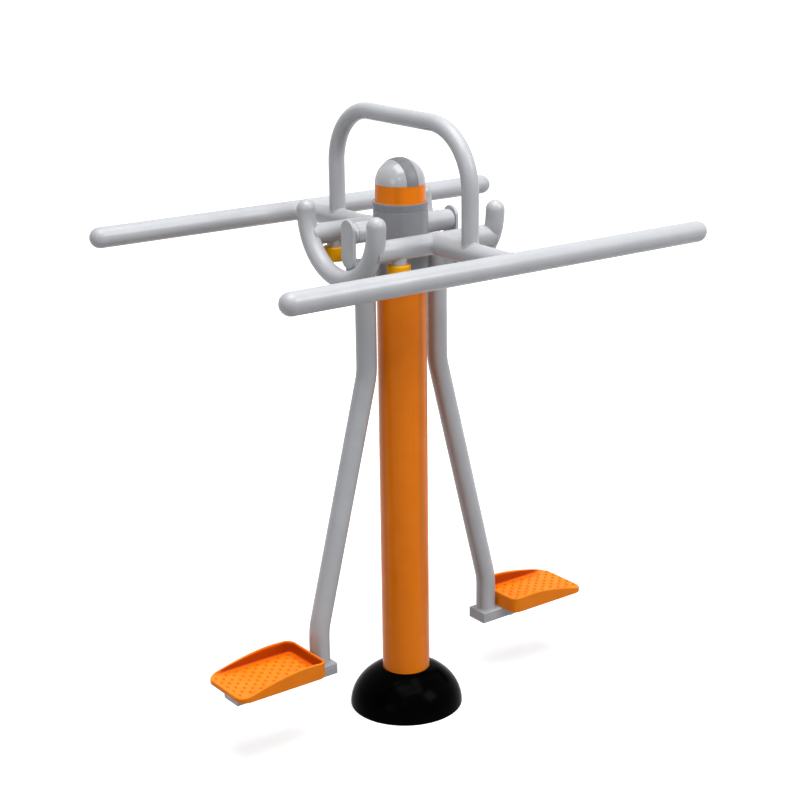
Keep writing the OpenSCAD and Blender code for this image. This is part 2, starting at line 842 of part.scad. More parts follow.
// A rectangle with round corners, seen along the pedal bar
module bar_section(w, h, round) {
    square([w - 2 * round, h], center = true);
    square([w, h - 2 * round], center = true);
    for (x = [-1, 1], y = [-1, 1])
        translate([x * (w / 2 - round), y * (h / 2 - round)]) circle(r = round);
}

module bar_block(x0, x1, inset) {
    w = pedal_bar_w - 2 * inset;
    h = pedal_bar_h - 2 * inset;
    translate([x0, 0, bar_top_z - pedal_bar_h / 2]) rotate([90, 0, 90])
        linear_extrude(height = x1 - x0) bar_section(w, h, pedal_bar_round - inset);
}

// Places of the bolts between the pedal bar and the pedal
module at_bolts() {
    for (x = [pedal_x + bolt_inset, bar_end_x - bolt_end_inset], y = [-1 / 2, 1 / 2] * bolt_pitch_y)
        translate([x, y, 0]) children();
}

module pedal_bar(side) {
    tube_x = bar_x + bar_plug_t;
    tube_end = bar_end_x - bar_plug_t;
    color("silver") on_side(side) difference() {
        bar_block(tube_x, tube_end, 0);
        bar_block(tube_x - over, tube_end + over, pedal_bar_wall);
        at_bolts() rod_z(pedal_bar_z - over, bar_top_z + over, bolt_d + 2 * hole_gap);
    }
}

module pedal_bar_plugs(side) {
    inset = pedal_bar_wall + slip_gap;
    color("silver") on_side(side) {
        bar_block(bar_x, bar_x + bar_plug_t, 0);
        bar_block(bar_x + bar_plug_t, bar_x + bar_plug_t + bar_plug_l, inset);
        bar_block(bar_end_x - bar_plug_t, bar_end_x, 0);
        bar_block(bar_end_x - bar_plug_t - bar_plug_l, bar_end_x - bar_plug_t, inset);
    }
}

// Outline of the pedal from above, drawn in by an inset
module pedal_outline(inset) {
    x0 = pedal_x + inset;
    x1 = pedal_end_x - inset;
    half_w = pedal_w / 2 - inset;
    r0 = pedal_inner_round - inset;
    r1 = pedal_outer_round - inset;
    translate([x0, -half_w + r0]) square([r0, 2 * (half_w - r0)]);
    translate([x1 - r1, -half_w + r1]) square([r1, 2 * (half_w - r1)]);
    translate([x0 + r0, -half_w]) square([x1 - x0 - r0 - r1, 2 * half_w]);
    for (y = [-1, 1]) {
        translate([x0 + r0, y * (half_w - r0)]) circle(r = r0);
        translate([x1 - r1, y * (half_w - r1)]) circle(r = r1);
    }
}

// Height of the rim at a share of the pedal's length, as a share of its full height
function rim_share(u) = u < rim_crest_share
    ? 1 - rim_lead_share * pow(1 - u / rim_crest_share, 2)
    : 1 - rim_fall_share * pow((u - rim_crest_share) / (1 - rim_crest_share), rim_fall_power);

module rim_side() {
    polygon(concat(
        [[pedal_x + pedal_l + over, 0], [pedal_x - over, 0], [pedal_x - over, pedal_rim_h * rim_share(0)]],
        [for (i = [0 : rim_steps]) let (u = i / rim_steps) [pedal_x + pedal_l * u, pedal_rim_h * rim_share(u)]],
        [[pedal_x + pedal_l + over, pedal_rim_h * rim_share(1)]]
    ));
}

module pedal(side) {
    color("orange") on_side(side) translate([0, 0, bar_top_z]) difference() {
        union() {
            linear_extrude(height = pedal_floor_t) pedal_outline(0);
            intersection() {
                linear_extrude(height = pedal_rim_h) difference() {
                    pedal_outline(0);
                    pedal_outline(pedal_wall);
                }
                translate([0, pedal_w, 0]) rotate([90, 0, 0]) linear_extrude(height = 2 * pedal_w)
                    rim_side();
            }
        }
        at_bolts() rod_z(-over, bolt_grip_l + over, bolt_d + 2 * close_fit);
    }
}

module pedal_bolts(side) {
    color("silver") on_side(side) at_bolts() {
        translate([0, 0, pedal_bar_z - bolt_head_h])
            cylinder(h = bolt_head_h, d = bolt_head_af / cos(30), $fn = 6);
        rod_z(pedal_bar_z, bar_top_z + bolt_grip_l, bolt_d);
    }
}

column();
base_flange();
base_gussets();
base_cap();
hub_sleeve();
hub_collar();
hub_screws();
top_cap();
top_cap_band();
axle_housing();
housing_rings();
bearing_outer_rings();
bearing_balls();
outer_spacers();
hub_arms();
side_rail(near);  // side_rail_near
side_rail(far);  // side_rail_far
cross_arm(near);  // cross_arm_near
cross_arm(far);  // cross_arm_far
hand_bar(near);  // hand_bar_near
hand_bar(far);  // hand_bar_far
hand_bar_caps();
loop_handle();
grip(left);  // grip_left
grip(right);  // grip_right
grip_caps();
bumper_holders();
bumpers();
bumper_screws();
swing_shaft(left);  // swing_shaft_left
swing_shaft(right);  // swing_shaft_right
shaft_washer(left);  // shaft_washer_left
shaft_washer(right);  // shaft_washer_right
shaft_nut(left);  // shaft_nut_left
shaft_nut(right);  // shaft_nut_right
inner_rings(left);  // inner_rings_left
inner_rings(right);  // inner_rings_right
inner_spacer(left);  // inner_spacer_left
inner_spacer(right);  // inner_spacer_right
hanger_plate(left);  // hanger_plate_left
hanger_plate(right);  // hanger_plate_right
leg_bracket(left);  // leg_bracket_left
leg_bracket(right);  // leg_bracket_right
leg_tube(left);  // leg_tube_left
leg_tube(right);  // leg_tube_right
leg_top_plug(left);  // leg_top_plug_left
leg_top_plug(right);  // leg_top_plug_right
pedal_bar(left);  // pedal_bar_left
pedal_bar(right);  // pedal_bar_right
pedal_bar_plugs(left);  // pedal_bar_plugs_left
pedal_bar_plugs(right);  // pedal_bar_plugs_right
pedal(left);  // pedal_left
pedal(right);  // pedal_right
pedal_bolts(left);  // pedal_bolts_left
pedal_bolts(right);  // pedal_bolts_right
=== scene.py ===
"""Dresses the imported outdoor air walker: a finish on every node, and finer surfaces where they show."""

import json
import logging
import math
from dataclasses import dataclass, field
from enum import Enum
from typing import Iterable, Optional, Sequence

import bpy
import numpy as np
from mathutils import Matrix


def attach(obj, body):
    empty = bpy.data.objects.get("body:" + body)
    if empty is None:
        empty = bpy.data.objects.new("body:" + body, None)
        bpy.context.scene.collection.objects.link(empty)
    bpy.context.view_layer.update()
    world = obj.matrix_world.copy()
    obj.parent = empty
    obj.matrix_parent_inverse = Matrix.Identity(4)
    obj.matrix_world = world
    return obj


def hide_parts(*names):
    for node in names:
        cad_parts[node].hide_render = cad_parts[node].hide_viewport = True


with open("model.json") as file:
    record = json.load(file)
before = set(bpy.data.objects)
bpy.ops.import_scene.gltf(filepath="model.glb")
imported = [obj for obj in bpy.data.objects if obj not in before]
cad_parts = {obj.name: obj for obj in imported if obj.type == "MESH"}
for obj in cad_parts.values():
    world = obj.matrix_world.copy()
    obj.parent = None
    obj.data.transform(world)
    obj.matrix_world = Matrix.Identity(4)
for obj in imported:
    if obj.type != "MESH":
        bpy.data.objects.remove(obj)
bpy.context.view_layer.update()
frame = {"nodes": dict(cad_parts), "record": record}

MM = 0.001
LOG = logging.getLogger("air_walker")
# The mesh attribute that says how much painted shade a piece's colour takes at each point
PAINTED_SHADE = "shade"
# Two points of an outline that are closer than this, in millimetres, are one
SAME_POINT = 1e-6
# The colour sockets of a Mix node go by number, because its sockets share their names
MIX_A, MIX_B, MIX_OUT = 6, 7, 2
# Noise lies mostly between these two, so it is stretched from there to the whole range
NOISE_RANGE = (0.3, 0.7)
# A streak is fifty times longer than it is wide, and only the higher part of the noise makes one
STREAK_SCALE = (1.0, 1.0, 0.02)
STREAK_RANGE = (0.52, 0.72)
WHITE = (1.0, 1.0, 1.0, 1.0)

Tree = bpy.types.NodeTree
Socket = bpy.types.NodeSocket
Pair = tuple[float, float]
Triple = tuple[float, float, float]
# Points and outward normals round a closed outline
Outline = tuple[np.ndarray, np.ndarray]
# Points and faces of a closed surface
Surface = tuple[np.ndarray, Sequence]


class Body(Enum):
    """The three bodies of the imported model."""

    STAND = "stand"
    LEFT_LEG = "left_leg"
    RIGHT_LEG = "right_leg"


class Side(Enum):
    """A side of the column along the swing axle, with its sign on X."""

    LEFT = -1
    RIGHT = 1

    @property
    def word(self) -> str:
        """The side's name as the CAD nodes spell it."""
        return self.name.lower()

    @property
    def body(self) -> Body:
        """The leg that swings on this side."""
        return Body.LEFT_LEG if self is Side.LEFT else Body.RIGHT_LEG


def linear_colour(hex_code: str) -> tuple[float, float, float, float]:
    """Turns an sRGB hex colour into the linear colour that a shader takes.

    Args:
        hex_code: A colour such as "#D46C18".

    Returns:
        Red, green, blue and alpha, each from 0 to 1.
    """
    channels = [int(hex_code[i:i + 2], 16) / 255 for i in (1, 3, 5)]
    # The sRGB curve is straight near black and a power above it
    linear = [c / 12.92 if c <= 0.04045 else ((c + 0.055) / 1.055) ** 2.4 for c in channels]
    return (*linear, 1.0)


def add_node(tree: Tree, kind: str, settings: Optional[dict] = None,
             links: Optional[dict] = None) -> bpy.types.Node:
    """Adds one shader node with its settings and its incoming links.

    Args:
        tree: The node tree that takes the node.
        kind: The node's type, such as "ShaderNodeTexNoise".
        settings: Socket names (or numbers) with their values, and property names starting with a dot.
        links: Socket names (or numbers) with what feeds them: a socket, or a node for its first output.

    Returns:
        The new node.
    """
    node = tree.nodes.new(kind)
    for key, value in (settings or {}).items():
        if isinstance(key, str) and key.startswith("."):
            setattr(node, key[1:], value)
        else:
            node.inputs[key].default_value = value
    for key, source in (links or {}).items():
        tree.links.new(source.outputs[0] if isinstance(source, bpy.types.Node) else source, node.inputs[key])
    return node


def ramp(tree: Tree, value: Socket, span: Pair = (0.0, 1.0), result: Pair = (0.0, 1.0)) -> Socket:
    """Leads a value's span onto another one, and holds it at both ends."""
    return add_node(tree, "ShaderNodeMapRange",
                    {"From Min": span[0], "From Max": span[1], "To Min": result[0], "To Max": result[1]},
                    {"Value": value}).outputs[0]


def noise(tree: Tree, place: Socket, pitch_mm: float, detail: float, roughness: float = 0.5,
          stretch: Optional[Triple] = None) -> Socket:
    """Noise whose features lie a pitch apart. Its coordinates may be scaled along X, Y and Z first."""
    if stretch:
        place = add_node(tree, "ShaderNodeMapping", {"Scale": stretch}, {"Vector": place}).outputs[0]
    return add_node(tree, "ShaderNodeTexNoise",
                    {"Scale": 1 / (pitch_mm * MM), "Detail": detail, "Roughness": roughness},
                    {"Vector": place}).outputs[0]


def empty_tree(owner: bpy.types.ID) -> Tree:
    """Turns a material's or a world's nodes on, and clears them."""
    owner.use_nodes = True
    owner.node_tree.nodes.clear()
    return owner.node_tree


def new_object(name: str, data: bpy.types.ID) -> bpy.types.Object:
    """Makes an object of a mesh, a camera or a lamp, and links it into the scene."""
    item = bpy.data.objects.new(name, data)
    bpy.context.scene.collection.objects.link(item)
    return item


@dataclass(frozen=True)
class Grain:
    """One layer of fine relief: how far apart its features are and how deep they look.

    Attributes:
        pitch_mm: Distance between neighbouring features.
        depth_mm: Height of the relief that the light sees.
        detail: Octaves of finer noise on top.
        stretch: Scale of the pattern along X, Y and Z, so a brushed or drawn surface can run one way.
    """

    pitch_mm: float
    depth_mm: float
    detail: float = 2.0
    stretch: Triple = (1.0, 1.0, 1.0)


@dataclass(frozen=True)
class Finish:
    """One real finish: what it is made of, how it was made, and how that looks.

    Attributes:
        slot: The record's material slot.
        colour: The finish's own colour.
        shade: The colour in its cloudy patches, a little off the first.
        metallic: 1 for bare metal, less where flakes lie in a clear binder.
        roughness: Mean roughness of the surface.
        spread: How far the roughness strays in its patches.
        cloud_mm: Size of the patches of colour and roughness.
        grains: Layers of relief, coarse to fine.
        coat: Weight of the clear skin over the colour.
        coat_roughness: Roughness of that skin.
        ior: Index of refraction; metals keep the default.
        specular: Strength of the plain mirror part, lower for a chalky or dusty skin.
        reflection_streak: Share by which upright streaks darken the colour: painted reflection bands of a
            glossy tube.
        streak_mm: Width of a streak.
        painted_shade_colours: Painted shade: darker colours that the piece's shade attribute leads through,
            where little light falls.
    """

    slot: str
    colour: str
    shade: str
    metallic: float = 0.0
    roughness: float = 0.4
    spread: float = 0.06
    cloud_mm: float = 60.0
    grains: tuple[Grain, ...] = ()
    coat: float = 0.0
    coat_roughness: float = 0.1
    ior: float = 1.5
    specular: float = 0.5
    reflection_streak: float = 0.0
    streak_mm: float = 9.0
    painted_shade_colours: tuple[str, ...] = ()

    def build(self) -> bpy.types.Material:
        """Makes the node material: clouded colour, uneven gloss and relief, all on Object coordinates."""
        material = bpy.data.materials.new(self.slot)
        tree = empty_tree(material)
        place = add_node(tree, "ShaderNodeTexCoord").outputs["Object"]
        cloud = noise(tree, place, self.cloud_mm, 3.0, 0.55)
        colour = add_node(tree, "ShaderNodeMix",
                          {".data_type": "RGBA", MIX_A: linear_colour(self.colour),
                           MIX_B: linear_colour(self.shade)},
                          {0: ramp(tree, cloud, NOISE_RANGE)}).outputs[MIX_OUT]
        # Dark upright streaks, painted as the reflection bands of a glossy tube
        if self.reflection_streak:
            colour = self._streaks(tree, place, colour)
        # Painted shade, from the piece's shade attribute
        if self.painted_shade_colours:
            colour = self._deepen(tree, colour)
        gloss = ramp(tree, cloud, NOISE_RANGE, (self.roughness - self.spread, self.roughness + self.spread))
        normal = None
        for grain in self.grains:
            normal = self._relief(tree, place, grain, normal)
        links = {"Base Color": colour, "Roughness": gloss}
        if normal is not None:
            links["Normal"] = normal
        shader = add_node(tree, "ShaderNodeBsdfPrincipled",
                          {"Metallic": self.metallic, "IOR": self.ior, "Coat Weight": self.coat,
                           "Coat Roughness": self.coat_roughness, "Specular IOR Level": self.specular}, links)
        add_node(tree, "ShaderNodeOutputMaterial", links={"Surface": shader})
        return material

    def _streaks(self, tree: Tree, place: Socket, colour: Socket) -> Socket:
        """Darkens the colour in upright streaks of painted reflection: noise that is fine around the tube and
        long along it.
        """
        lines = noise(tree, place, self.streak_mm, 1.0, stretch=STREAK_SCALE)
        dark = ramp(tree, lines, STREAK_RANGE, (1.0, 1 - self.reflection_streak))
        return add_node(tree, "ShaderNodeVectorMath", {".operation": "SCALE"},
                        {0: colour, "Scale": dark}).outputs["Vector"]

    def _deepen(self, tree: Tree, colour: Socket) -> Socket:
        """Paints shade: blends the colour into each painted shade colour in turn, over equal shares of the
        shade attribute.
        """
        shade = add_node(tree, "ShaderNodeAttribute", {".attribute_name": PAINTED_SHADE}).outputs["Fac"]
        count = len(self.painted_shade_colours)
        for i, tint in enumerate(self.painted_shade_colours):
            share = ramp(tree, shade, (i / count, (i + 1) / count))
            colour = add_node(tree, "ShaderNodeMix", {".data_type": "RGBA", MIX_B: linear_colour(tint)},
                              {0: share, MIX_A: colour}).outputs[MIX_OUT]
        return colour

    @staticmethod
    def _relief(tree: Tree, place: Socket, grain: Grain, under: Optional[Socket]) -> Socket:
        """Lays one layer of relief over the layers before it.

        Args:
            tree: The material's tree.
            place: The Object coordinates.
            grain: The layer's size and depth.
            under: The normal of the layers before, if there are any.

        Returns:
            The normal with this layer on it.
        """
        links = {"Height": noise(tree, place, grain.pitch_mm, grain.detail, stretch=grain.stretch)}
        if under is not None:
            links["Normal"] = under
        return add_node(tree, "ShaderNodeBump",
                        {"Strength": 1.0, "Distance": grain.depth_mm * MM}, links).outputs["Normal"]


# Powder coat flows into a shallow orange peel before it sets. The peel of the real coat is about 2 mm
# across; it is drawn a little coarser, so that it shows.
ORANGE_PEEL = Grain(pitch_mm=3.0, depth_mm=0.022)
# Moulded plastic carries the fine spark-eroded grain of its mould
MOULD_GRAIN = Grain(pitch_mm=1.2, depth_mm=0.04, detail=3.0)
# Turned steel keeps the fine rings of the tool
TOOL_RINGS = Grain(pitch_mm=1.0, depth_mm=0.02, stretch=(6.0, 0.3, 0.3))


class Coat(Enum):
    """Every finish of the air walker."""

    # Polyester powder coat with silver flake, baked on steel tube: a soft grey sheen, no sharp mirror
    SILVER = Finish("silver_powder_coat", "#B6B8BC", "#B0B2B6", metallic=0.04, roughness=0.46, spread=0.03,
                    grains=(ORANGE_PEEL,), coat=0.3, coat_roughness=0.14, specular=0.32)
    # Polyester powder coat on the steel column: deep even orange, with a weak mirror under a satin skin; its
    # dark upright streaks are painted reflection bands
    ORANGE = Finish("orange_powder_coat", "#FF880C", "#FA8208", roughness=0.34, spread=0.03,
                    grains=(ORANGE_PEEL,), coat=0.06, coat_roughness=0.06, specular=0.12,
                    reflection_streak=0.17, streak_mm=20.0)
    # The hub's darker powder coat, half matte, with faint painted reflection streaks
    HUB_GREY = Finish("grey_powder_coat", "#909196", "#8A8B90", metallic=0.06, roughness=0.42, spread=0.03,
                      grains=(ORANGE_PEEL,), specular=0.35, reflection_streak=0.05, streak_mm=16.0)
    # Injection-moulded ABS cap, glossy from a polished mould
    DOME_GREY = Finish("grey_gloss_plastic", "#B6B7BC", "#B0B1B6", roughness=0.2, spread=0.04, coat=0.25,
                       grains=(MOULD_GRAIN,), ior=1.53)
    # The cap's strip, moulded in a darker plastic with a satin face
    BAND_GREY = Finish("dark_grey_plastic", "#808286", "#787A7E", roughness=0.45, grains=(MOULD_GRAIN,))
    # Glossy black polypropylene cover over the foot
    BLACK = Finish("black_gloss_plastic", "#020203", "#010102", roughness=0.2, spread=0.04, ior=1.49,
                   grains=(Grain(pitch_mm=14.0, depth_mm=0.02),), specular=0.01)
    # Injection-moulded polypropylene foot plate: satin, warm orange through and through. Its two darker
    # colours are painted shade on the walls, in the corners under the rim and on the studs
    PEDAL_ORANGE = Finish("orange_plastic", "#FF9418", "#FA8B12", roughness=0.45, cloud_mm=35.0,
                          grains=(MOULD_GRAIN,), ior=1.49, specular=0.18, painted_shade_colours=("#F87000", "#A63C00"))
    # Cast polyurethane rubber: matte yellow with faint mottling
    RUBBER = Finish("yellow_rubber", "#FFB400", "#FFAC00", roughness=0.55, cloud_mm=20.0,
                    grains=(Grain(pitch_mm=2.0, depth_mm=0.06, detail=4.0),), ior=1.52, specular=0.15)
    # Hot-dip zinc: broad dull spangle
    GALVANISED = Finish("galvanised_steel", "#9DA1A4", "#84888B", metallic=1.0, roughness=0.5, spread=0.12,
                        cloud_mm=12.0, grains=(Grain(pitch_mm=5.0, depth_mm=0.05),))
    # Bright electroplated zinc on bolts, nuts and washers
    ZINC = Finish("zinc_plated_steel", "#C3C6C8", "#B2B5B8", metallic=1.0, roughness=0.28, cloud_mm=8.0,
                  grains=(Grain(pitch_mm=0.8, depth_mm=0.01),))
    # Turned bright steel bar, lightly oiled
    TURNED = Finish("turned_steel", "#A9ACAF", "#9A9DA1", metallic=1.0, roughness=0.3, cloud_mm=15.0,
                    grains=(TOOL_RINGS,))
    # Ground and polished bearing steel
    BEARING = Finish("bearing_steel", "#C9CBCD", "#BEC0C3", metallic=1.0, roughness=0.14, spread=0.03,
                     cloud_mm=10.0, grains=(Grain(pitch_mm=0.6, depth_mm=0.004),))


class FinishShop:
    """Makes each finish once and puts it on pieces and CAD nodes."""

    def __init__(self) -> None:
        """Starts with an empty shelf."""
        self._made: dict[Coat, bpy.types.Material] = {}

    def material(self, coat: Coat) -> bpy.types.Material:
        """The node material of a finish, made when it is first asked for."""
        if coat not in self._made:
            self._made[coat] = coat.value.build()
        return self._made[coat]

    def dress(self, piece: bpy.types.Object, coat: Coat) -> None:
        """Gives all of a piece's faces one finish.

        Args:
            piece: A mesh object, a CAD node's or a new one.
            coat: The finish.
        """
        material = self.material(coat)
        if not piece.data.materials:
            piece.data.materials.append(material)
        for i in range(len(piece.data.materials)):
            piece.data.materials[i] = material

    def dress_nodes(self) -> None:
        """Gives every CAD node the finish that the record names for it."""
        by_slot = {coat.value.slot: coat for coat in Coat}
        for part in frame["record"]["subparts"]:
            node = frame["nodes"].get(part["node"])
            if node is not None:
                self.dress(node, by_slot[part["material_slot"]])
                LOG.info("node %s: %s", part["node"], part["material_slot"])


def grid_faces(rows: int, cols: int, wrap_rows: bool = False, wrap_cols: bool = False) -> np.ndarray:
    """Quads of a grid whose point (i, j) is number i * cols + j.

    Args:
        rows: Number of rows of points.
        cols: Number of points in a row.
        wrap_rows: Whether the last row joins the first.
        wrap_cols: Whether each row closes on itself.

    Returns:
        One row of four point numbers for each quad.
    """
    i = np.arange(rows if wrap_rows else rows - 1)[:, None]
    j = np.arange(cols if wrap_cols else cols - 1)[None, :]
    next_i, next_j = (i + 1) % rows, (j + 1) % cols
    corners = (i * cols + j, i * cols + next_j, next_i * cols + next_j, next_i * cols + j)
    return np.stack(corners, -1).reshape(-1, 4)


@dataclass
class MeshDraft:
    """Points and faces gathered from several surfaces before they become one piece."""

    points: list[np.ndarray] = field(default_factory=list)
    faces: list[Sequence[int]] = field(default_factory=list)
    count: int = 0

    def add(self, points: np.ndarray, faces: Iterable[Sequence[int]], side: Side = Side.RIGHT) -> "MeshDraft":
        """Adds a closed surface.

        Args:
            points: Its points in millimetres.
            faces: Its faces, by the numbers of its own points.
            side: Where it goes. A surface is drawn for the right, and mirrored for the left.

        Returns:
            The draft itself.
        """
        points = points.reshape(-1, 3) * np.array([side.value, 1, 1]) * MM
        self.points.append(points)
        self.faces.extend((np.asarray(face)[::side.value] + self.count).tolist() for face in faces)
        self.count += len(points)
        return self

    def make(self, name: str, body: Body, coat: Coat, shop: FinishShop,
             replaces: Sequence[str] = (), shade: Optional[np.ndarray] = None) -> bpy.types.Object:
        """Makes the piece, which rides on its body and takes its record slot.

        Args:
            name: The piece's name.
            body: The body that it moves with.
            coat: Its finish.
            shop: Where the finish comes from.
            replaces: CAD nodes that it stands for.
            shade: How far each point takes the finish's painted shade colours, from 0 to 1.

        Returns:
            The new object, at the origin, with its place in its mesh.
        """
        mesh = bpy.data.meshes.new(name)
        mesh.from_pydata(np.concatenate(self.points).tolist(), [], self.faces)
        mesh.update()
        mesh.validate()
        mesh.polygons.foreach_set("use_smooth", np.ones(len(mesh.polygons), bool))
        if shade is not None:
            mesh.attributes.new(PAINTED_SHADE, "FLOAT", "POINT").data.foreach_set("value", shade.astype(np.float32))
        piece = new_object(name, mesh)
        shop.dress(piece, coat)
        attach(piece, body.value)
        if replaces:
            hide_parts(*replaces)
        LOG.info("piece %s: %d points on %s", name, self.count, body.value)
        return piece


def arc_points(centre: Pair, semi_axes: Pair, start_deg: float, end_deg: float, steps: int) -> np.ndarray:
    """Points of an elliptical arc: centre plus the semi-axes times the cosine and sine of the angle."""
    angle = np.radians(np.linspace(start_deg, end_deg, steps))
    return np.stack([centre[0] + semi_axes[0] * np.cos(angle), centre[1] + semi_axes[1] * np.sin(angle)], -1)


def rounded_rectangle(half_width: float, span: Pair, radius: float, steps: int = 10,
                      gap: float = 6.0) -> Outline:
    """A rectangle whose corners are quarter circles, from its lower left corner on, anticlockwise.

    Args:
        half_width: Half of its width, to either side of nought.
        span: Its lowest and its highest place.
        radius: Radius of the corners. Half the width makes round ends.
        steps: Points of one corner.
        gap: Largest distance between points on a straight.

    Returns:
        Points and unit normals.
    """
    low, high = span
    inset = half_width - radius
    centres = ((-inset, low + radius), (inset, low + radius), (inset, high - radius), (-inset, high - radius))
    angles = [np.radians(np.linspace(180, 270, steps) + 90 * i) for i in range(4)]
    normals = [np.stack([np.cos(angle), np.sin(angle)], -1) for angle in angles]
    arcs = [centre + radius * normal for centre, normal in zip(np.array(centres), normals)]
    points, outward = [], []
    for i, (arc, normal) in enumerate(zip(arcs, normals)):
        ahead = arcs[(i + 1) % 4][0] - arc[-1]
        share = np.linspace(0, 1, max(int(np.linalg.norm(ahead) / gap), 1) + 1)[1:-1, None]
        points += [arc, arc[-1] + share * ahead]
        outward += [normal, np.repeat(normal[-1:], len(share), 0)]
    points, outward = np.concatenate(points), np.concatenate(outward)
    # Two arcs that meet without a straight share a point, and it is kept once
    apart = np.linalg.norm(np.roll(points, -1, 0) - points, axis=1) > SAME_POINT
    return points[apart], outward[apart]


def outline_solid(outline: Outline, profile: Sequence[Pair], axes: Sequence[int]) -> Surface:
    """A closed solid: the outline carried through the profile's heights, drawn in by the profile's insets.

    Args:
        outline: Points and outward normals in a plane.
        profile: Inset and height of each ring, from one flat end to the other.
        axes: Where the outline's two coordinates and the height go in space.

    Returns:
        Points and faces. The faces point outwards where the axes are an even turn of (0, 1, 2).
    """
    points, normals = outline
    rings = np.empty((len(profile), len(points), 3))
    for ring, (inset, height) in zip(rings, profile):
        ring[:, list(axes[:2])] = points - inset * normals
        ring[:, axes[2]] = height
    number = np.arange(len(points))
    faces = list(grid_faces(len(profile), len(points), wrap_cols=True))
    faces += [number[::-1], number + (len(profile) - 1) * len(points)]
    return rings.reshape(-1, 3), faces


def lathe(profile: np.ndarray, centre: Sequence[float], around: int = 72) -> Surface:
    """A closed section turned about an upright axis: radius times the cosine and the sine of the angle.

    Args:
        profile: Radius and height of each point of the section, up its outside first.
        centre: Where the axis passes and the heights start.
        around: Points in one turn.

    Returns:
        Points and faces, which point outwards.
    """
    angle = np.linspace(0, 2 * np.pi, around, endpoint=False)
    radius, height = profile[:, :1], profile[:, 1:]
    points = np.stack([radius * np.cos(angle), radius * np.sin(angle), height + 0 * angle], -1)
    faces = grid_faces(len(profile), around, wrap_rows=True, wrap_cols=True)
    return points.reshape(-1, 3) + np.asarray(centre), faces


def smooth_step(x: np.ndarray) -> np.ndarray:
    """Rises from 0 to 1 as three times the square less twice the cube."""
    x = np.clip(x, 0, 1)
    return x * x * (3 - 2 * x)


